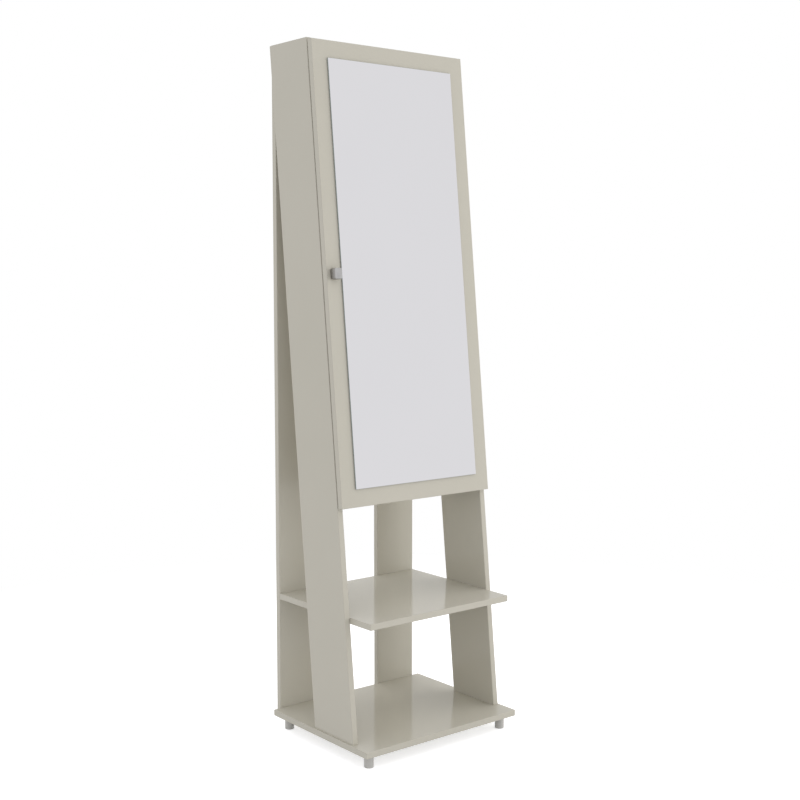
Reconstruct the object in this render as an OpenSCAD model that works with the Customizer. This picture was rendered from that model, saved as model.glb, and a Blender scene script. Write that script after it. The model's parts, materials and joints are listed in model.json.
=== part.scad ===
// Floor mirror with shelves: a leaning mirror cabinet between two side panels,
// carried by a base board on four feet and by two upright posts at the back.
// Millimetres. Z is up, the front faces -Y, and the floor is the plane z = 0.
// The origin is on the floor, in the middle of the object's outline.

/* [Overall] */
// Height of the whole object above the floor
total_h = 1677; // [1500:1:1800]
// Width of the base board
base_w = 470; // [420:1:560]
// Depth of the base board
base_d = 382; // [350:1:460]
// Thickness of the base, shelves, panels, posts and door
board_t = 15; // [12:0.5:18]
// Width of the eased edge round the lacquered boards
board_ease = 0.8; // [0.3:0.1:1.5]

/* [Side panels] */
// How far the base sticks out beyond each side panel
base_lip = 5; // [2:0.5:12]
// From the base's front edge back to the foot of a side panel
panel_setback = 58; // [40:1:75]
// Depth of a side panel, measured level
panel_depth = 152.8; // [140:0.1:165]

/* [Rear posts] */
// Width of each rear post
post_w = 120; // [100:1:140]

/* [Middle shelf] */
// Clear height from the base up to the middle shelf
lower_bay_h = 279; // [240:1:320]
// How far the shelf's front edge lies behind the base's
shelf_setback = 10; // [5:1:30]

/* [Cabinet] */
// How much higher the cabinet floor lies than the door's lower edge
floor_rise = 2; // [1:0.5:6]
// Thickness of the hardboard back
back_t = 3; // [2.5:0.5:4]
// From the side panels' rear edges in to the back
back_inset = 9; // [6:0.5:14]
// How deep the back sits in its grooves
groove_depth = 6; // [4:0.5:8]
// How far the inner shelves lie behind the panels' front edges
inner_setback = 12; // [8:1:20]
// Clearance at each side of an inner shelf
inner_side_clear = 1; // [0.5:0.1:2]

/* [Door and mirror] */
// Height of the door
door_h = 1084; // [1000:1:1120]
// From the top of the panels down to the door's upper edge
door_drop = 5.5; // [3:0.5:12]
// Gap between the door and the panels' front edges
door_gap = 2; // [1.8:0.1:3]
// How far the door ends inside the panels' outer faces
door_reveal = 1; // [0.5:0.1:2]
// Door frame that shows left and right of the glass
mirror_side = 41.5; // [30:0.5:60]
// Door frame that shows above and below the glass
mirror_end = 42; // [30:0.5:60]
// Thickness of the mirror glass
mirror_t = 3; // [3:0.5:5]
// Ground edge of the mirror glass
mirror_ease = 0.4; // [0.2:0.1:0.8]
// Thickness of the mounting tape behind the glass
tape_t = 1; // [0.8:0.1:1.6]
// Width of one strip of mounting tape
tape_w = 20; // [12:1:30]
// From the glass's edges in to the tape
tape_margin = 15; // [10:1:40]
// Number of strips of mounting tape
tape_n = 4; // [3:1:6]

/* [Knob] */
// Width of the knob
knob_w = 20; // [18:1:26]
// Height of the knob
knob_h = 25; // [18:1:32]
// How far the knob stands out from the door
knob_depth = 21; // [16:1:28]
// Depth of the narrower neck behind the knob's head
knob_neck = 3; // [2:0.5:6]
// How much the neck is set in on each side
knob_neck_in = 2; // [1:0.5:3]
// Bevel round the knob's head
knob_ease = 1.2; // [0.5:0.1:2]
// From the door's free edge in to the knob's middle
knob_edge = 20; // [17:1:28]
// Diameter of the knob's screw
knob_screw_d = 4; // [3:0.5:5]
// Height of that screw's head
knob_screw_head_h = 2.4; // [2:0.1:3]
// How deep the screw goes into the knob
knob_screw_in = 11; // [8:1:13]

/* [Hinge] */
// Width of each leaf of the full-length hinge
leaf_w = 14; // [11:0.5:14.5]
// Thickness of the leaves
leaf_t = 0.8; // [0.6:0.05:0.85]
// Radius of the bore through the knuckles
knuckle_bore_r = 1; // [0.8:0.05:1.2]
// Running clearance round the hinge pin
pin_clear = 0.05; // [0.03:0.01:0.09]
// Length that one knuckle would like to have
knuckle_pitch = 30; // [20:1:40]
// Gap between one knuckle and the next
knuckle_gap = 0.3; // [0.2:0.05:0.5]
// From the barrel to the panel's outer face
barrel_clear = 0.3; // [0.2:0.05:0.8]
// From the door's upper and lower edges to the hinge's ends
hinge_end = 2; // [1:1:20]
// Number of screws in each leaf
hinge_screws_n = 10; // [6:1:14]

/* [Magnetic catch] */
// Height of the catch above the knob
catch_above_knob = 70; // [45:1:90]
// Length of the catch case
catch_l = 46; // [40:1:60]
// Width of the catch case
catch_w = 14; // [12:1:18]
// Depth of the catch case
catch_d = 16; // [14:1:24]
// Wall of the case round the magnet
catch_wall = 2; // [1.5:0.5:3]
// Thickness of the case's screw lugs
catch_lug_t = 3; // [2:0.5:4]
// Length of each screw lug
catch_lug_l = 9; // [8:0.5:11]
// Width of the magnet
magnet_w = 8; // [6:0.5:9]
// Width of the steel strike plate on the door
strike_w = 12; // [10:0.5:14]
// Thickness of the strike plate
strike_t = 1.4; // [1:0.1:1.6]
// Diameter of the door bumpers
bumper_d = 9; // [7:0.5:12]
// From the door's corners to the bumpers
bumper_end = 40; // [20:1:80]

/* [Feet] */
// Height of the feet
foot_h = 32; // [20:1:45]
// Diameter of the feet
foot_d = 23; // [20:0.5:30]
// From the base's edges in to the middle of a foot
foot_inset = 28; // [20:1:40]
// Rounding round a foot's lower edge
foot_round = 1.5; // [0.5:0.5:3]
// Diameter of the recess that holds the foot's screw
foot_recess_d = 11; // [10:0.5:14]
// Plastic left between the recess and the base
foot_web = 14; // [8:1:16]
// Diameter of a foot's screw
foot_screw_d = 4; // [3:0.5:4]
// Diameter of that screw's head
foot_screw_head_d = 8; // [7:0.5:9]
// Height of that screw's head
foot_screw_head_h = 2.4; // [2:0.1:3]
// How deep the screw goes into the base
foot_screw_in = 11; // [8:0.5:11]

/* [Fasteners] */
// Diameter of the wood dowels
dowel_d = 8; // [6:1:8]
// Length of the wood dowels
dowel_l = 30; // [25:1:40]
// How deep a dowel goes into a side panel
dowel_in = 11; // [8:0.5:11]
// Diameter of the cam locks
cam_d = 15; // [12:0.5:15]
// Height of the cam locks
cam_h = 12; // [10:0.5:12]
// From a board's end in to the middle of a cam
cam_edge = 34; // [24:1:34]
// Diameter of the cam bolts' shanks
cam_bolt_d = 6; // [5:0.5:6]
// How deep a cam bolt goes into a side panel
cam_bolt_in = 10; // [8:0.5:11]
// Distance between the two cams at one end of a board
cam_pitch = 96; // [64:1:110]
// Length of the long assembly screws
long_screw_l = 50; // [40:1:60]
// Diameter of a long screw's shank
long_shank_d = 7; // [6:0.5:7]
// Diameter of a long screw's threaded part
long_thread_d = 5; // [4:0.5:5]
// Diameter of a long screw's head
long_head_d = 10; // [9:0.5:12]
// From a post's inner edge to its nearer row of screws
post_screw_edge = 24; // [15:1:30]
// Board left between the outer row of screws and the cam locks
post_screw_space = 5; // [3:1:10]
// Distance between the two screws into a panel's foot
panel_screw_pitch = 76; // [50:1:100]
// Diameter of the small wood screws
small_screw_d = 3; // [2.5:0.1:3.5]
// Length of the small wood screws
small_screw_l = 12; // [8:0.5:12]
// Diameter of the shelf pins
shelf_pin_d = 5; // [4:0.5:6]
// How deep a shelf pin goes into its panel, and how far it stands out
shelf_pin_in = 8; // [6:0.5:10]
// From an inner shelf's front and rear edges to its pins
shelf_pin_edge = 25; // [15:1:40]

/* [Fits] */
// Clearance round a screw, dowel, bolt or pin in its hole
fit = 0.1; // [0.05:0.01:0.15]
// Gap under a part that rests on another
seat = 0.1; // [0.05:0.01:0.2]
// Gap between two parts that almost touch
near = 0.3; // [0.2:0.05:0.5]

/* [Hidden] */
$fn = 48;
// Each inner shelf is a node of its own, so their number is fixed
inner_shelves_n = 4;
// How far a cutter reaches beyond the face that it cuts
over = 1;

// Fastener details
small_head_d = 1.9 * small_screw_d;
small_head_h = (small_head_d - small_screw_d) / 2;
long_head_h = (long_head_d - long_shank_d) / 2;
hex_d = 0.4 * long_head_d;
hex_h = 0.3 * long_head_d;
cam_neck_l = cam_bolt_d / 2;
cam_neck_d = cam_bolt_d / 2;
cam_slot_d = cam_bolt_d + 2;
pin_collar_d = shelf_pin_d + 2;

// Levels
base_z = foot_h;
base_top = base_z + board_t;
shelf_top = base_top + lower_bay_h + board_t;

// Plan: the posts stand behind the base, so both make up the depth
front_y = -(base_d + board_t) / 2;
post_y = front_y + base_d;
cab_w = base_w - 2 * base_lip;
in_w = cab_w - 2 * board_t;

// The side panels lean back until their upper rear corners reach the posts
lean = atan((base_d - panel_setback - panel_depth) / (total_h - base_top));
panel_w = panel_depth * cos(lean);
panel_len = (total_h - base_top) / cos(lean);

// Front plane of the panels at height z, and the middle of a panel there
function panel_y(z) = front_y + panel_setback + (z - base_top) * tan(lean);
function panel_mid(z) = panel_y(z) + panel_depth / 2;

// Leaning frame: y runs from the front edges into the cabinet, z up the slant
// from the upper front corners. lean_z gives the level of a point in it.
function lean_z(y, z) = total_h + z * cos(lean) - y * sin(lean);

// Door
door_w = cab_w - 2 * door_reveal;
door_top = -door_drop;
door_bottom = door_top - door_h;
door_mid = door_top - door_h / 2;
door_back = -door_gap;
door_front = door_back - board_t;
mirror_w = door_w - 2 * mirror_side;
mirror_h = door_h - 2 * mirror_end;

// Cabinet
floor_z = lean_z(door_back, door_bottom) + floor_rise;
floor_top = floor_z + board_t;
roof_z = total_h - board_t;
back_in = panel_w - back_inset - back_t;
back_out = panel_w - back_inset;
inner_clear_h = (roof_z - floor_top - inner_shelves_n * board_t) / (inner_shelves_n + 1);
function inner_top(i) = floor_top + i * (inner_clear_h + board_t);
function inner_front(i) = panel_y(inner_top(i)) + inner_setback;
function inner_rear(i) = panel_y(inner_top(i) - board_t) + back_in / cos(lean) - near;

// Levels where a board is joined to the side panels by cams and a dowel
joint_z = [shelf_top - board_t / 2, floor_z + board_t / 2, total_h - board_t / 2];
// Levels where the posts are screwed to a board
post_joint_z = [base_top - board_t / 2, shelf_top - board_t / 2, total_h - board_t / 2];
post_screw_x = [
    in_w / 2 - post_w + post_screw_edge,
    in_w / 2 - cam_edge - cam_d / 2 - post_screw_space - long_shank_d / 2
];

// Hinge
barrel_r = knuckle_bore_r + leaf_t;
pin_x = cab_w / 2 + barrel_clear + barrel_r;
pin_y = -door_gap / 2;
hinge_len = door_h - 2 * hinge_end;
hinge_z0 = door_bottom + hinge_end;
knuckle_n = 2 * round(hinge_len / knuckle_pitch / 2) + 1;
knuckle_l = hinge_len / knuckle_n;
hinge_screw_x = cab_w / 2 - leaf_w / 2;
function hinge_screw_z(i) = hinge_z0 + (i + 0.5) * hinge_len / hinge_screws_n;

// Catch and bumpers
catch_z = door_mid + catch_above_knob;
catch_x = -in_w / 2 + catch_w / 2;
catch_front = near;
strike_face = door_back + strike_t;
magnet_front = strike_face + near;
lug_screw_z = catch_l / 2 - catch_lug_l / 2;
body_l = catch_l - 2 * catch_lug_l;

// Colours
lacquer = "#c4c1b4";
edge_metal = "#b4b3b2";
board_brown = "#8c7458";
wood = "#c8a878";
plastic = "#bdbbb3";
glass = "#d9d8dc";
foam = "#e8e6e0";
magnet_grey = "#3c3c3e";

// Placing

module leaning() {
    translate([0, panel_y(total_h), total_h])
        rotate([-lean, 0, 0])
            children();
}

module both_sides() {
    children();
    mirror([1, 0, 0])
        children();
}

// Board: a box whose twelve edges are cut off at 45 degrees by e

function cut_corners(a, b, e) = [
    [e, 0], [a - e, 0], [a, e], [a, b - e],
    [a - e, b], [e, b], [0, b - e], [0, e]
];

module eased_box(size, e) {
    intersection() {
        linear_extrude(size[2])
            polygon(cut_corners(size[0], size[1], e));
        translate([0, size[1], 0])
            rotate([90, 0, 0])
                linear_extrude(size[1])
                    polygon(cut_corners(size[0], size[2], e));
        rotate([90, 0, 90])
            linear_extrude(size[0])
                polygon(cut_corners(size[1], size[2], e));
    }
}

// Box given by its lowest corner and its highest corner
module board(low, high, e = board_ease) {
    translate(low)
        eased_box(high - low, e);
}

// Fasteners point along +Z from the face that they enter; c is extra
// radius, so that the same module cuts the hole that the piece goes into

module long_screw(c = 0) {
    rotate_extrude()
        polygon([
            [0, 0],
            [long_head_d / 2 + c, 0],
            [long_shank_d / 2 + c, long_head_h],
            [long_shank_d / 2 + c, board_t],
            [long_thread_d / 2 + c, board_t],
            [long_thread_d / 2 + c, long_screw_l + c],
            [0, long_screw_l + c]
        ]);
}

module long_screw_piece() {
    difference() {
        long_screw();
        translate([0, 0, -over])
            cylinder(d = hex_d, h = hex_h + over, $fn = 6);
    }
}

module small_screw(c = 0) {
    rotate_extrude()
        polygon([
            [0, 0],
            [small_head_d / 2 + c, 0],
            [small_screw_d / 2 + c, small_head_h],
            [small_screw_d / 2 + c, small_screw_l + c],
            [0, small_screw_l + c]
        ]);
}

// Cross slot for a screwdriver, cut into a head of diameter d
module cross_slot(d) {
    w = 0.6 * d;
    t = 0.125 * d;
    h = 0.14 * d;
    for (a = [0, 90])
        rotate([0, 0, a])
            translate([-w / 2, -t / 2, -over])
                cube([w, t, h + over]);
}

module small_screw_piece() {
    difference() {
        small_screw();
        cross_slot(small_head_d);
    }
}

// Shapes that are repeated at the ends of the joined boards. They are drawn
// for the right-hand panel, from its inner face outwards and inwards.

module at_board_ends() {
    both_sides()
        for (z = joint_z)
            translate([in_w / 2, panel_mid(z), z])
                children();
}

module at_cams() {
    at_board_ends()
        for (s = [-1, 1])
            translate([0, s * cam_pitch / 2, 0])
                children();
}

module dowel(c = 0) {
    translate([-(dowel_l - dowel_in) - c, 0, 0])
        rotate([0, 90, 0])
            cylinder(d = dowel_d + 2 * c, h = dowel_l + 2 * c);
}

module cam_bolt(c = 0) {
    translate([-cam_edge - c, 0, 0])
        rotate([0, 90, 0])
            cylinder(d = cam_bolt_d + 2 * c, h = cam_edge + cam_bolt_in + 2 * c);
}

module cam_bolt_piece() {
    difference() {
        cam_bolt();
        translate([-cam_edge + cam_neck_l, 0, 0])
            rotate([0, 90, 0])
                difference() {
                    cylinder(d = cam_bolt_d + over, h = cam_neck_l);
                    translate([0, 0, -over])
                        cylinder(d = cam_neck_d, h = cam_neck_l + 2 * over);
                }
    }
}

// The cam's lower face is flush with the board's underside
module cam_body(c = 0) {
    translate([-cam_edge, 0, -board_t / 2 - c])
        cylinder(d = cam_d + 2 * c, h = cam_h + 2 * c);
}

module cam_piece() {
    difference() {
        cam_body();
        translate([-cam_edge - cam_slot_d / 2, 0, 0])
            rotate([0, 90, 0])
                cylinder(d = cam_slot_d, h = cam_d);
        translate([-cam_edge, 0, -board_t / 2])
            cross_slot(cam_d);
    }
}

module end_bores() {
    at_board_ends()
        dowel(fit);
    at_cams() {
        cam_bolt(fit);
        cam_body(fit);
    }
}

// Screws into the feet of the side panels, from under the base
module at_panel_screws() {
    both_sides()
        for (s = [-1, 1])
            translate([cab_w / 2 - board_t / 2, panel_mid(base_top) + s * panel_screw_pitch / 2, base_z])
                children();
}

// Screws through the posts into the boards' rear edges
module at_post_screws() {
    both_sides()
        for (z = post_joint_z, x = post_screw_x)
            translate([x, post_y + board_t, z])
                rotate([90, 0, 0])
                    children();
}

module at_feet() {
    both_sides()
        for (y = [front_y + foot_inset, post_y - foot_inset])
            translate([base_w / 2 - foot_inset, y, 0])
                children();
}

module at_shelf_pins(i) {
    z = inner_top(i) - board_t - seat - shelf_pin_d / 2;
    both_sides()
        for (y = [inner_front(i) + shelf_pin_edge, inner_rear(i) - shelf_pin_edge])
            translate([in_w / 2, y, z])
                children();
}

module shelf_pin_bore() {
    rotate([0, 90, 0])
        cylinder(d = shelf_pin_d + 2 * fit, h = shelf_pin_in + fit);
}

module at_frame_leaf_screws() {
    for (i = [0 : hinge_screws_n - 1])
        translate([hinge_screw_x, -leaf_t, hinge_screw_z(i)])
            rotate([-90, 0, 0])
                children();
}

module at_door_leaf_screws() {
    for (i = [0 : hinge_screws_n - 1])
        translate([hinge_screw_x, door_back + leaf_t, hinge_screw_z(i)])
            rotate([90, 0, 0])
                children();
}

module at_catch_screws() {
    for (s = [-1, 1])
        translate([-in_w / 2 + catch_lug_t, catch_front + catch_d / 2, catch_z + s * lug_screw_z])
            rotate([0, -90, 0])
                children();
}

module at_strike_screw() {
    translate([catch_x, strike_face, catch_z])
        rotate([90, 0, 0])
            children();
}

// Base and feet

module base_board() {
    color(lacquer)
        difference() {
            board([-base_w / 2, front_y, base_z], [base_w / 2, post_y, base_top]);
            at_panel_screws()
                long_screw(fit);
            at_post_screws()
                long_screw(fit);
            at_feet()
                foot_screw_shape(fit);
        }
}

module foot_screw_shape(c = 0) {
    head_z = foot_h - foot_web;
    translate([0, 0, head_z - foot_screw_head_h])
        cylinder(d = foot_screw_head_d + 2 * c, h = foot_screw_head_h + c);
    translate([0, 0, head_z])
        cylinder(d = foot_screw_d + 2 * c, h = foot_web + foot_screw_in + c);
}

module foot() {
    difference() {
        rotate_extrude()
            polygon([
                [0, 0],
                for (a = [0 : 30 : 90])
                    [foot_d / 2 - foot_round * (1 - sin(a)), foot_round * (1 - cos(a))],
                [foot_d / 2, foot_h],
                [0, foot_h]
            ]);
        translate([0, 0, -over])
            cylinder(d = foot_recess_d, h = foot_h - foot_web + over);
        cylinder(d = foot_screw_d + 2 * fit, h = foot_h + over);
    }
}

module one_foot(side, y) {
    color(plastic)
        translate([side * (base_w / 2 - foot_inset), y, 0])
            foot();
}

module front_left_foot() { one_foot(-1, front_y + foot_inset); }
module front_right_foot() { one_foot(1, front_y + foot_inset); }
module rear_left_foot() { one_foot(-1, post_y - foot_inset); }
module rear_right_foot() { one_foot(1, post_y - foot_inset); }

module foot_screws() {
    color(edge_metal)
        at_feet()
            difference() {
                foot_screw_shape();
                translate([0, 0, foot_h - foot_web - foot_screw_head_h])
                    cross_slot(foot_screw_head_d);
            }
}

// Side panels, posts and shelf

module side_panel_blank() {
    intersection() {
        leaning()
            translate([cab_w / 2 - board_t, 0, -panel_len - board_t])
                linear_extrude(panel_len + 2 * board_t)
                    polygon(cut_corners(board_t, panel_w, board_ease));
        translate([0, -base_d, base_top])
            cube([cab_w, 2 * base_d, total_h - base_top]);
    }
}

module back_groove() {
    leaning()
        translate([in_w / 2 - over, back_in - near / 2, back_low - near])
            cube([groove_depth + near + over, back_t + near, back_high - back_low + 2 * near]);
}

module right_panel_shape() {
    difference() {
        side_panel_blank();
        back_groove();
        end_bores();
        at_panel_screws()
            long_screw(fit);
        for (i = [1 : inner_shelves_n])
            at_shelf_pins(i)
                shelf_pin_bore();
    }
}

module left_side_panel() {
    color(lacquer)
        difference() {
            mirror([1, 0, 0])
                right_panel_shape();
            leaning()
                at_catch_screws()
                    small_screw(fit);
        }
}

module right_side_panel() {
    color(lacquer)
        difference() {
            right_panel_shape();
            leaning()
                at_frame_leaf_screws()
                    small_screw(fit);
        }
}

module right_post_shape() {
    difference() {
        board([in_w / 2 - post_w, post_y, base_z], [in_w / 2, post_y + board_t, total_h]);
        at_post_screws()
            long_screw(fit);
    }
}

module left_rear_post() {
    color(lacquer)
        mirror([1, 0, 0])
            right_post_shape();
}

module right_rear_post() {
    color(lacquer)
        right_post_shape();
}

module middle_shelf() {
    color(lacquer)
        difference() {
            board(
                [-in_w / 2, front_y + shelf_setback, shelf_top - board_t],
                [in_w / 2, post_y, shelf_top]
            );
            end_bores();
            at_post_screws()
                long_screw(fit);
        }
}

// Cabinet

module cabinet_top() {
    color(lacquer)
        difference() {
            board([-in_w / 2, panel_y(total_h), roof_z], [in_w / 2, post_y, total_h]);
            end_bores();
            at_post_screws()
                long_screw(fit);
        }
}

module cabinet_floor() {
    color(lacquer)
        difference() {
            board(
                [-in_w / 2, panel_y(floor_top), floor_z],
                [in_w / 2, panel_y(floor_z) + panel_depth, floor_top]
            );
            end_bores();
        }
}

// The back ends just clear of the cabinet floor and of the top
back_low = (floor_top + near - total_h + back_out * sin(lean)) / cos(lean);
back_high = (roof_z - near - total_h + back_in * sin(lean)) / cos(lean);

module cabinet_back() {
    half_w = in_w / 2 + groove_depth;
    color(board_brown)
        leaning()
            translate([-half_w, back_in, back_low])
                cube([2 * half_w, back_t, back_high - back_low]);
}

module inner_shelf(i) {
    half_w = in_w / 2 - inner_side_clear;
    color(lacquer)
        board(
            [-half_w, inner_front(i), inner_top(i) - board_t],
            [half_w, inner_rear(i), inner_top(i)]
        );
}

module inner_shelf_1() { inner_shelf(1); }
module inner_shelf_2() { inner_shelf(2); }
module inner_shelf_3() { inner_shelf(3); }
module inner_shelf_4() { inner_shelf(4); }

module shelf_pins() {
    collar_t = inner_side_clear - seat;
    color(edge_metal)
        for (i = [1 : inner_shelves_n])
            at_shelf_pins(i)
                rotate([0, 90, 0]) {
                    translate([0, 0, -shelf_pin_in])
                        cylinder(d = shelf_pin_d, h = 2 * shelf_pin_in);
                    translate([0, 0, -collar_t])
                        cylinder(d = pin_collar_d, h = collar_t);
                }
}

// Fasteners of the frame

module wood_dowels() {
    color(wood)
        at_board_ends()
            dowel();
}

module cam_bolts() {
    color(edge_metal)
        at_cams()
            cam_bolt_piece();
}

module cam_locks() {
    color(edge_metal)
        at_cams()
            cam_piece();
}

module panel_screws() {
    color(edge_metal)
        at_panel_screws()
            long_screw_piece();
}

module post_screws() {
    color(edge_metal)
        at_post_screws()
            long_screw_piece();
}

// Door, mirror and knob

module door_panel() {
    color(lacquer)
        leaning()
            difference() {
                board([-door_w / 2, door_front, door_bottom], [door_w / 2, door_back, door_top]);
                at_door_leaf_screws()
                    small_screw(fit);
                at_strike_screw()
                    small_screw(fit);
                at_knob()
                    knob_screw_shape(fit);
            }
}

module mirror_tape() {
    pitch = (mirror_w - 2 * tape_margin - tape_w) / (tape_n - 1);
    low = door_mid - mirror_h / 2 + tape_margin;
    color(foam)
        leaning()
            translate([-mirror_w / 2 + tape_margin, door_front - tape_t, low])
                for (i = [0 : tape_n - 1])
                    translate([i * pitch, 0, 0])
                        cube([tape_w, tape_t, mirror_h - 2 * tape_margin]);
}

module mirror_glass() {
    face = door_front - tape_t;
    color(glass)
        leaning()
            board(
                [-mirror_w / 2, face - mirror_t, door_mid - mirror_h / 2],
                [mirror_w / 2, face, door_mid + mirror_h / 2],
                mirror_ease
            );
}

// Knob and its screw point out of the door, along +Z here
module at_knob() {
    translate([-door_w / 2 + knob_edge, door_back, door_mid])
        rotate([90, 0, 0])
            children();
}

module knob_screw_shape(c = 0) {
    cylinder(d = knob_screw_d + 2 * c, h = board_t + knob_screw_in + c);
}

module door_knob() {
    neck_w = knob_w - 2 * knob_neck_in;
    neck_h = knob_h - 2 * knob_neck_in;
    color(edge_metal)
        leaning()
            at_knob()
                difference() {
                    translate([0, 0, board_t]) {
                        translate([-neck_w / 2, -neck_h / 2, 0])
                            cube([neck_w, neck_h, knob_neck + knob_ease]);
                        board(
                            [-knob_w / 2, -knob_h / 2, knob_neck],
                            [knob_w / 2, knob_h / 2, knob_depth],
                            knob_ease
                        );
                    }
                    knob_screw_shape(fit);
                }
}

module knob_screw() {
    head_d = 2 * knob_screw_d;
    color(edge_metal)
        leaning()
            at_knob()
                difference() {
                    union() {
                        knob_screw_shape();
                        translate([0, 0, -knob_screw_head_h])
                            cylinder(d = head_d, h = knob_screw_head_h);
                    }
                    translate([0, 0, -knob_screw_head_h])
                        cross_slot(head_d);
                }
}

// Full-length hinge. Knuckles are counted from the lower end: the even
// ones belong to the leaf on the side panel, the odd ones to the door's.

module knuckles(first, web_y) {
    for (i = [first : 2 : knuckle_n - 1])
        translate([0, 0, hinge_z0 + i * knuckle_l + knuckle_gap / 2]) {
            translate([pin_x, pin_y, 0])
                cylinder(r = barrel_r, h = knuckle_l - knuckle_gap);
            translate([cab_w / 2 - leaf_t, web_y, 0])
                cube([pin_x - knuckle_bore_r - cab_w / 2 + leaf_t, leaf_t, knuckle_l - knuckle_gap]);
        }
}

module hinge_leaf(first, leaf_y) {
    difference() {
        union() {
            translate([cab_w / 2 - leaf_w, leaf_y, hinge_z0])
                cube([leaf_w, leaf_t, hinge_len]);
            knuckles(first, leaf_y);
        }
        translate([pin_x, pin_y, hinge_z0 - over])
            cylinder(r = knuckle_bore_r, h = hinge_len + 2 * over);
    }
}

module hinge_frame_leaf() {
    color(edge_metal)
        leaning()
            difference() {
                hinge_leaf(0, -leaf_t);
                at_frame_leaf_screws()
                    small_screw(fit);
            }
}

module hinge_door_leaf() {
    color(edge_metal)
        leaning()
            difference() {
                hinge_leaf(1, door_back);
                at_door_leaf_screws()
                    small_screw(fit);
            }
}

module hinge_pin() {
    color(edge_metal)
        leaning()
            translate([pin_x, pin_y, hinge_z0])
                cylinder(r = knuckle_bore_r - pin_clear, h = hinge_len);
}

module hinge_frame_screws() {
    color(edge_metal)
        leaning()
            at_frame_leaf_screws()
                small_screw_piece();
}

module hinge_door_screws() {
    color(edge_metal)
        leaning()
            at_door_leaf_screws()
                small_screw_piece();
}

// Magnetic catch and bumpers

module magnet_block(c = 0) {
    magnet_l = body_l - 2 * catch_wall;
    translate([catch_x - magnet_w / 2 - c, magnet_front, catch_z - magnet_l / 2 - c])
        cube([magnet_w + 2 * c, catch_d - 2 * catch_wall + c, magnet_l + 2 * c]);
}

module catch_case() {
    color(foam)
        leaning()
            difference() {
                union() {
                    translate([-in_w / 2, catch_front, catch_z - body_l / 2])
                        cube([catch_w, catch_d, body_l]);
                    translate([-in_w / 2, catch_front, catch_z - catch_l / 2])
                        cube([catch_lug_t, catch_d, catch_l]);
                }
                magnet_block(fit);
                at_catch_screws()
                    small_screw(fit);
            }
}

module catch_magnet() {
    color(magnet_grey)
        leaning()
            magnet_block();
}

module catch_screws() {
    color(edge_metal)
        leaning()
            at_catch_screws()
                small_screw_piece();
}

module catch_strike() {
    color(edge_metal)
        leaning()
            difference() {
                translate([catch_x - strike_w / 2, door_back, catch_z - body_l / 2])
                    cube([strike_w, strike_t, body_l]);
                at_strike_screw()
                    small_screw(fit);
            }
}

module strike_screw() {
    color(edge_metal)
        leaning()
            at_strike_screw()
                small_screw_piece();
}

module door_bumpers() {
    color(foam)
        leaning()
            for (z = [door_bottom + bumper_end, door_top - bumper_end])
                translate([-cab_w / 2 + board_t / 2, door_back, z])
                    rotate([-90, 0, 0])
                        cylinder(d = bumper_d, h = door_gap - near);
}

base_board();
front_left_foot();
front_right_foot();
rear_left_foot();
rear_right_foot();
foot_screws();
left_side_panel();
right_side_panel();
left_rear_post();
right_rear_post();
middle_shelf();
cabinet_top();
cabinet_floor();
cabinet_back();
inner_shelf_1();
inner_shelf_2();
inner_shelf_3();
inner_shelf_4();
shelf_pins();
wood_dowels();
cam_bolts();
cam_locks();
panel_screws();
post_screws();
door_panel();
mirror_tape();
mirror_glass();
door_knob();
knob_screw();
hinge_frame_leaf();
hinge_door_leaf();
hinge_pin();
hinge_frame_screws();
hinge_door_screws();
catch_case();
catch_magnet();
catch_screws();
catch_strike();
strike_screw();
door_bumpers();
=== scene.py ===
# Looks of the floor mirror with shelves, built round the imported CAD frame.
# Metres, in the frame of the part: Z up, the front faces -Y, floor at z = 0.

import json
import math

import bpy
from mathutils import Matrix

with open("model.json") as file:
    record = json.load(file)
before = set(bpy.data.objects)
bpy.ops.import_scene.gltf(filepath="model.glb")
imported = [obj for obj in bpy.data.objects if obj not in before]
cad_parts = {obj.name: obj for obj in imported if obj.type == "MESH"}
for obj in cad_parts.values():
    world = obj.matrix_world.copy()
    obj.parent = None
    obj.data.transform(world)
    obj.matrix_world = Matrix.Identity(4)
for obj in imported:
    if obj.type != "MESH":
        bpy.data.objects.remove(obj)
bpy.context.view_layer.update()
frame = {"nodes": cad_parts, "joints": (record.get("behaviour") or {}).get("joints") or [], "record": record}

# Camera of the photograph, from the fit of the model to its edges: metres, degrees, millimetres
CAM_PLACE = (-1.94489, -2.43204, 1.12736)
CAM_TURN = (84.4947, -0.0219, -38.9790)
CAM_LENS = 57.320
CAM_SENSOR = 36.0

# The hinge's axis leans back with the door, so the door's two faces look square to it
_, AXIS_Y, AXIS_Z = frame["joints"][0]["axis"]
DOOR_FRONT = (0.0, -AXIS_Z, AXIS_Y)
DOOR_BACK = (0.0, AXIS_Z, -AXIS_Y)

# Where most of a noise's values lie
NOISE = (0.3, 0.7)


# Node graph helpers

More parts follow.
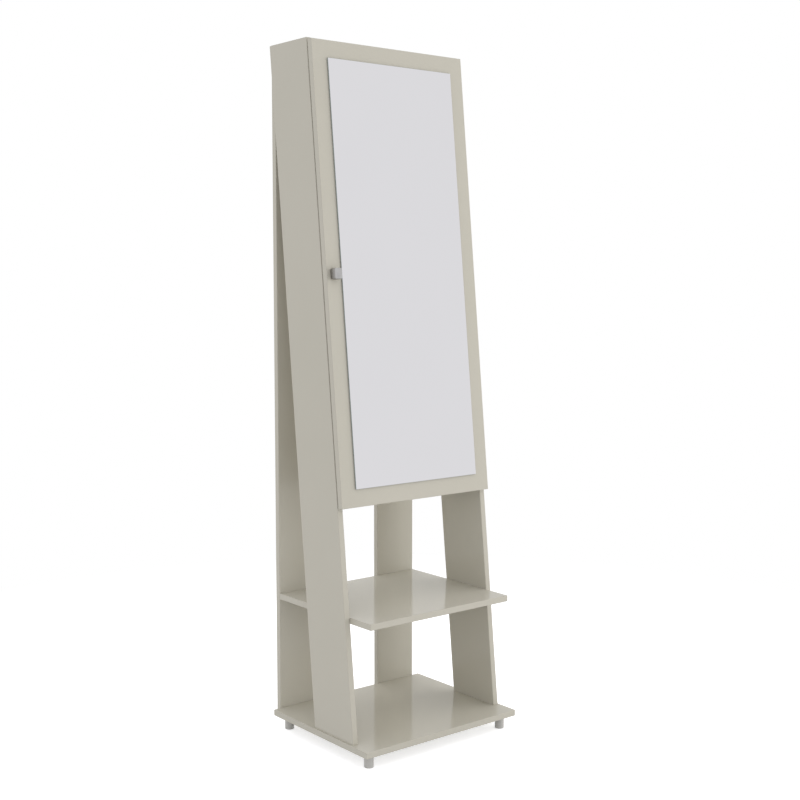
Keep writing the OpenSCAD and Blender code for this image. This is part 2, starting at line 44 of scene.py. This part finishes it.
class Graph:
    """The node graph of a material or world. A value that is a socket gets linked."""

    def __init__(self, owner, output="OutputMaterial"):
        self.owner = owner
        owner.use_nodes = True
        self.tree = owner.node_tree
        self.tree.nodes.clear()
        self.out = self.add(output)

    def add(self, kind, inputs=(), **props):
        node = self.tree.nodes.new("ShaderNode" + kind)
        for key, value in props.items():
            setattr(node, key, value)
        for key, value in dict(inputs).items():
            self.put(node.inputs[key], value)
        return node

    def put(self, socket, value):
        if isinstance(value, bpy.types.NodeSocket):
            self.tree.links.new(value, socket)
        else:
            socket.default_value = value

    def surface(self, shader):
        self.put(self.out.inputs["Surface"], shader)
        return self.owner

    def place(self, stretch=(1, 1, 1)):
        """Object coordinates, stretched."""
        coord = self.add("TexCoord").outputs["Object"]
        return self.add("Mapping", {"Vector": coord, "Scale": stretch}).outputs["Vector"]

    def noise(self, scale, detail=2.0, rough=0.5, stretch=(1, 1, 1), distortion=0.0):
        return self.add("TexNoise", {
            "Vector": self.place(stretch), "Scale": scale, "Detail": detail,
            "Roughness": rough, "Distortion": distortion,
        }).outputs["Fac"]

    def span(self, value, source, target):
        """The value's range source mapped to the range target, and held at its ends."""
        return self.add("MapRange", {
            "Value": value, "From Min": source[0], "From Max": source[1],
            "To Min": target[0], "To Max": target[1],
        }).outputs["Result"]

    def mix(self, factor, a, b):
        node = self.add("Mix", data_type="RGBA")
        self.put(node.inputs[0], factor)
        self.put(node.inputs[6], a)
        self.put(node.inputs[7], b)
        return node.outputs[2]

    def mottle(self, noise, a, b, source=NOISE, most=1.0):
        """Colour that wanders with a noise from a towards b, at most by the share most."""
        return self.mix(self.span(noise, source, (0.0, most)), a, b)

    def math(self, operation, a, b):
        return self.add("Math", {0: a, 1: b}, operation=operation).outputs[0]

    def bump(self, height, distance, strength, normal=None):
        node = self.add("Bump", {"Height": height, "Distance": distance, "Strength": strength})
        if normal is not None:
            self.put(node.inputs["Normal"], normal)
        return node.outputs["Normal"]

    def edge_mask(self, width):
        """1 along the edges of the solid, 0 on its faces, and the rounded normal."""
        rounded = self.add("Bevel", {"Radius": width}, samples=6).outputs["Normal"]
        flat = self.add("NewGeometry").outputs["Normal"]
        same = self.add("VectorMath", {0: rounded, 1: flat}, operation="DOT_PRODUCT")
        return self.span(same.outputs["Value"], (0.80, 0.99), (1.0, 0.0)), rounded

    def worn(self, edge, share, colour, lighter):
        """The colour, lighter along the edges by a share."""
        return self.mix(self.math("MULTIPLY", edge, share), colour, lighter)

    def faces(self, direction, source=(0.9, 0.97)):
        """1 on the faces that look along direction in the piece's own frame."""
        normal = self.add("TexCoord").outputs["Normal"]
        along = self.add("VectorMath", {0: normal, 1: direction}, operation="DOT_PRODUCT")
        return self.span(along.outputs["Value"], source, (0.0, 1.0))

    def principled(self, colour, rough, normal, **inputs):
        """The finished material. Further inputs are named with _ for a space."""
        given = {key.replace("_", " "): value for key, value in inputs.items()}
        given.update({"Base Color": colour, "Roughness": rough, "Normal": normal})
        return self.surface(self.add("BsdfPrincipled", given).outputs["BSDF"])


def material_graph(name):
    return Graph(bpy.data.materials.new(name))


def grey(value):
    return (value, value, value, 1.0)


def shade(tone, factor):
    """A tone made lighter or darker, at most white."""
    return tuple(min(1.0, v * factor) for v in tone[:3]) + (1.0,)


# Materials

def lacquer(name, tone, tone_warm):
    """High-gloss lacquer on board: faint tone drift, orange peel, wipe marks, worn edges."""
    g = material_graph(name)
    edge, rounded = g.edge_mask(0.0011)
    drift = g.noise(scale=2.3, detail=3.0, rough=0.55)
    colour = g.mottle(drift, tone, tone_warm, source=(0.35, 0.65))
    flecks = g.noise(scale=900.0, detail=1.0)
    fleck_tone = (0.30, 0.28, 0.24, 1)
    colour = g.mottle(flecks, colour, fleck_tone, source=(0.68, 0.80), most=0.05)
    colour = g.worn(edge, 0.55, colour, shade(tone, 1.12))

    wipes = g.noise(scale=5.0, detail=4.0, rough=0.6, stretch=(1.0, 1.0, 0.18), distortion=0.6)
    dust = g.noise(scale=60.0, detail=3.0, rough=0.7)
    rough = g.span(wipes, (0.35, 0.70), (0.085, 0.135))
    rough = g.math("ADD", rough, g.span(dust, (0.55, 0.85), (0.0, 0.05)))
    rough = g.math("ADD", rough, g.math("MULTIPLY", edge, 0.10))

    waves = g.noise(scale=9.0, detail=1.0)
    peel = g.noise(scale=330.0, detail=1.5, rough=0.45)
    normal = g.bump(waves, distance=0.0006, strength=0.35, normal=rounded)
    normal = g.bump(peel, distance=0.00003, strength=0.5, normal=normal)
    return g.principled(colour, rough, normal, Specular_IOR_Level=0.165)


def hardboard(name):
    """Thin back: both faces painted, matt outside, brown fibre on the sawn edges."""
    dark_fibre, light_fibre = (0.19, 0.115, 0.065, 1), (0.36, 0.24, 0.145, 1)
    stain = (0.25, 0.155, 0.09, 1)
    inside, inside_light = (0.52, 0.50, 0.43, 1), (0.55, 0.53, 0.46, 1)
    outside, outside_light = (0.49, 0.465, 0.395, 1), (0.52, 0.495, 0.425, 1)
    show_through = (0.36, 0.33, 0.27, 1)

    g = material_graph(name)
    fibre = g.noise(scale=420.0, detail=6.0, rough=0.7, stretch=(1, 1, 0.5))
    cloud = g.noise(scale=14.0, detail=4.0)
    brown = g.mottle(fibre, dark_fibre, light_fibre)
    brown = g.mottle(cloud, brown, stain, source=(0.35, 0.7), most=0.35)
    dull = g.mottle(cloud, outside, outside_light)
    dull = g.mottle(fibre, dull, show_through, source=(0.55, 0.8), most=0.25)
    front = g.faces(DOOR_FRONT)
    colour = g.mix(front, brown, g.mottle(cloud, inside, inside_light))
    colour = g.mix(g.faces(DOOR_BACK), colour, dull)

    rough = g.span(front, (0.0, 1.0), (0.62, 0.34))
    rough = g.math("ADD", rough, g.span(fibre, NOISE, (0.0, 0.08)))
    return g.principled(colour, rough, g.bump(fibre, distance=0.00018, strength=0.6))


def mirror(name):
    """Silvered float glass: mirror front, greenish ground edges, dark painted back."""
    silver, silver_light = (0.700, 0.694, 0.716, 1), (0.708, 0.702, 0.724, 1)
    green, green_light = (0.270, 0.310, 0.290, 1), (0.380, 0.420, 0.395, 1)
    back_paint = (0.16, 0.16, 0.17, 1)

    g = material_graph(name)
    front = g.faces(DOOR_FRONT)
    haze = g.noise(scale=3.0, detail=2.0)
    grind = g.noise(scale=1500.0, detail=2.0, stretch=(1, 1, 0.05))
    colour = g.mix(g.faces(DOOR_BACK), g.mottle(grind, green, green_light), back_paint)
    colour = g.mix(front, colour, g.mottle(haze, silver, silver_light))

    smear = g.noise(scale=7.0, detail=5.0, rough=0.6, stretch=(1.0, 1.0, 0.3), distortion=0.8)
    polished = g.span(smear, (0.45, 0.80), (0.012, 0.035))
    ground = g.span(grind, NOISE, (0.16, 0.32))
    rough = g.span(front, (0.0, 1.0), (ground, polished))
    grind_depth = g.span(front, (0.0, 1.0), (0.6, 0.0))
    normal = g.bump(grind, distance=0.00004, strength=grind_depth)
    return g.principled(colour, rough, normal, Metallic=front)


def plastic(name, tone, rough, grain):
    """Moulded plastic: fine grain, faint flow marks and a duller worn edge."""
    g = material_graph(name)
    edge, rounded = g.edge_mask(0.0006)
    flow = g.noise(scale=45.0, detail=3.0, stretch=(1, 1, 0.3))
    colour = g.mottle(flow, shade(tone, 0.94), tone)
    colour = g.worn(edge, 0.5, colour, shade(tone, 1.10))
    speckle = g.noise(scale=grain, detail=3.0, rough=0.6)
    normal = g.bump(speckle, distance=0.00003, strength=0.5, normal=rounded)
    return g.principled(colour, g.span(speckle, NOISE, rough), normal)


def metal(name, tone, rough, stretch=(1, 1, 1), lines=700.0, clouds=60.0, shaded_sides=None):
    """Brushed or plated metal: fine lines, cloudy plating and bright worn edges.

    lines and clouds are scales, and the tone for all faces but the front, where given, is painted shade: a
    darker tone than the front's.
    """
    g = material_graph(name)
    edge, rounded = g.edge_mask(0.0004)
    brush = g.noise(scale=lines, detail=3.0, rough=0.6, stretch=stretch)
    plating = g.noise(scale=clouds, detail=3.0)
    colour = g.mottle(plating, shade(tone, 0.90), tone)
    # Painted shade: all faces but the front take the darker tone, where one is given.
    if shaded_sides is not None:
        colour = g.mix(g.faces(DOOR_FRONT, source=(0.5, 0.8)), shaded_sides, colour)
    colour = g.mottle(brush, colour, grey(0.30), source=(0.35, 0.75), most=0.25)
    colour = g.worn(edge, 0.6, colour, shade(tone, 1.2))
    normal = g.bump(brush, distance=0.00002, strength=0.5, normal=rounded)
    return g.principled(colour, g.span(brush, NOISE, rough), normal, Metallic=1.0)


def beech(name):
    """Turned beech with fine flecks along the dowel."""
    dark, light, fleck_tone = (0.42, 0.27, 0.14, 1), (0.58, 0.41, 0.24, 1), (0.28, 0.16, 0.08, 1)
    g = material_graph(name)
    grain = g.noise(scale=160.0, detail=4.0, stretch=(0.12, 1, 1))
    flecks = g.noise(scale=900.0, detail=2.0, stretch=(0.2, 1, 1))
    colour = g.mottle(grain, dark, light)
    colour = g.mottle(flecks, colour, fleck_tone, source=(0.6, 0.75), most=0.5)
    normal = g.bump(flecks, distance=0.0001, strength=0.5)
    return g.principled(colour, g.span(grain, NOISE, (0.55, 0.7)), normal)


def foam(name):
    """White foam of tape and bumpers: open cells with painted shade in their pits, and a dull surface."""
    tone, tone_light, pit_shade = (0.70, 0.69, 0.64, 1), (0.78, 0.77, 0.73, 1), (0.45, 0.44, 0.41, 1)
    g = material_graph(name)
    cells = g.add("TexVoronoi", {"Vector": g.place(), "Scale": 1400.0}).outputs["Distance"]
    tint = g.noise(scale=50.0, detail=3.0)
    colour = g.mottle(tint, tone, tone_light)
    # Painted shade: the pits of the open cells are darker.
    colour = g.mix(g.span(cells, (0.0, 0.5), (0.25, 0.0)), colour, pit_shade)
    normal = g.bump(cells, distance=0.0001, strength=0.6)
    return g.principled(colour, g.span(cells, (0.0, 0.6), (0.75, 0.9)), normal)


# One material for each slot of the record
looks = {
    "lacquered_board": lacquer(
        "lacquered_board", tone=(0.530, 0.505, 0.424, 1), tone_warm=(0.518, 0.495, 0.413, 1)),
    "foot_plastic": plastic(
        "foot_plastic", tone=(0.55, 0.54, 0.50, 1), rough=(0.22, 0.34), grain=600.0),
    "hardboard": hardboard("hardboard"),
    "beech": beech("beech"),
    "mirror": mirror("mirror"),
    "foam_tape": foam("foam_tape"),
    "catch_plastic": plastic(
        "catch_plastic", tone=(0.72, 0.71, 0.67, 1), rough=(0.42, 0.58), grain=900.0),
    "magnet": metal("magnet", tone=(0.10, 0.10, 0.105, 1), rough=(0.45, 0.65), lines=900.0),
    # The knob's sides carry painted shade, a darker tone than its front.
    "knob_metal": metal(
        "knob_metal", tone=(0.52, 0.515, 0.51, 1), rough=(0.26, 0.38), stretch=(1, 1, 0.05),
        shaded_sides=(0.36, 0.35, 0.335, 1)),
    "hinge_steel": metal(
        "hinge_steel", tone=(0.44, 0.44, 0.43, 1), rough=(0.20, 0.34), stretch=(1, 1, 0.03),
        clouds=12.0),
    "zinc_steel": metal(
        "zinc_steel", tone=(0.58, 0.59, 0.60, 1), rough=(0.24, 0.40), lines=500.0),
}

slot_of = {part["node"]: part["material_slot"] for part in frame["record"]["subparts"]}
for node_name, node_object in frame["nodes"].items():
    for slot in node_object.material_slots:
        slot.material = looks[slot_of[node_name]]


# Floor, world, lamps and camera

WHITE = grey(1.0)
DOME = (0.926, 0.928, 0.970, 1)
NEUTRAL = (1.0, 1.0, 1.0)
WARM = (1.0, 0.955, 0.91)

FLOOR_HALF = 9.0
SHADOW_LIFT = 0.62              # how far the floor's own light softens the shadow
SHADOW_REACH = (0.9, 2.0)       # distance over which the floor turns plain white


def floor_material():
    """White studio floor: it keeps the shadow for the camera and is plain white to gloss."""
    g = material_graph("studio_floor")
    path = g.add("LightPath").outputs
    speckle = g.noise(scale=3.0, detail=3.0)
    pale = g.mottle(speckle, grey(0.80), grey(0.82))
    matte = g.add("BsdfDiffuse", {"Color": pale}).outputs[0]
    lift = g.add("Emission", {"Color": WHITE, "Strength": SHADOW_LIFT}).outputs[0]
    seen = g.add("AddShader", {0: matte, 1: lift}).outputs[0]
    near = g.add("MixShader", {0: path["Is Camera Ray"], 1: matte, 2: seen}).outputs[0]
    plain = g.add("Emission", {"Color": WHITE, "Strength": 1.0}).outputs[0]
    away = g.add("VectorMath", {0: g.place()}, operation="LENGTH").outputs["Value"]
    far = g.math("MULTIPLY", g.span(away, SHADOW_REACH, (0.0, 1.0)), path["Is Camera Ray"])
    floor = g.add("MixShader", {0: far, 1: near, 2: plain}).outputs[0]
    gloss = g.math("MAXIMUM", path["Is Glossy Ray"], path["Is Transmission Ray"])
    return g.surface(g.add("MixShader", {0: gloss, 1: floor, 2: plain}).outputs[0])


def make_floor():
    mesh = bpy.data.meshes.new("studio_floor")
    signs = ((-1, -1), (1, -1), (1, 1), (-1, 1))
    corners = [(x * FLOOR_HALF, y * FLOOR_HALF, 0.0) for x, y in signs]
    mesh.from_pydata(corners, [], [(0, 1, 2, 3)])
    mesh.materials.append(floor_material())
    floor = bpy.data.objects.new("studio_floor", mesh)
    bpy.context.scene.collection.objects.link(floor)


def make_world():
    """White to the camera and to gloss; a softer, slightly cool dome for diffuse light."""
    world = bpy.data.worlds.new("studio")
    bpy.context.scene.world = world
    g = Graph(world, "OutputWorld")
    path = g.add("LightPath").outputs
    gloss = g.math("MAXIMUM", path["Is Glossy Ray"], path["Is Transmission Ray"])
    seen = g.math("MAXIMUM", path["Is Camera Ray"], gloss)
    g.surface(g.add("Background", {"Color": g.mix(seen, DOME, WHITE)}).outputs[0])


def make_lamp(name, place, aim, size, power, colour):
    """Soft square lamp that points at the part's middle line, at the height aim."""
    data = bpy.data.lights.new(name, "AREA")
    data.shape = "SQUARE"
    data.size = size
    data.energy = power
    data.color = colour
    lamp = bpy.data.objects.new(name, data)
    bpy.context.scene.collection.objects.link(lamp)
    lamp.location = place
    pitch = math.atan2(math.hypot(place[0], place[1]), place[2] - aim)
    yaw = math.atan2(place[0], -place[1])
    lamp.rotation_euler = (pitch, 0.0, yaw)
    lamp.visible_glossy = False


def make_camera():
    data = bpy.data.cameras.new("photo_camera")
    data.lens = CAM_LENS
    data.sensor_width = CAM_SENSOR
    camera = bpy.data.objects.new("photo_camera", data)
    bpy.context.scene.collection.objects.link(camera)
    camera.location = CAM_PLACE
    camera.rotation_euler = [math.radians(v) for v in CAM_TURN]
    bpy.context.scene.camera = camera


make_camera()
make_world()
make_floor()
make_lamp("front_right", (2.6, -3.4, 1.0), aim=0.7, size=2.0, power=22.5, colour=NEUTRAL)
make_lamp("right", (4.0, -1.2, 1.6), aim=0.8, size=2.4, power=38.0, colour=WARM)
make_lamp("back", (0.6, 4.2, 1.6), aim=0.8, size=2.4, power=36.0, colour=WARM)

bpy.context.scene.view_settings.view_transform = "Standard"
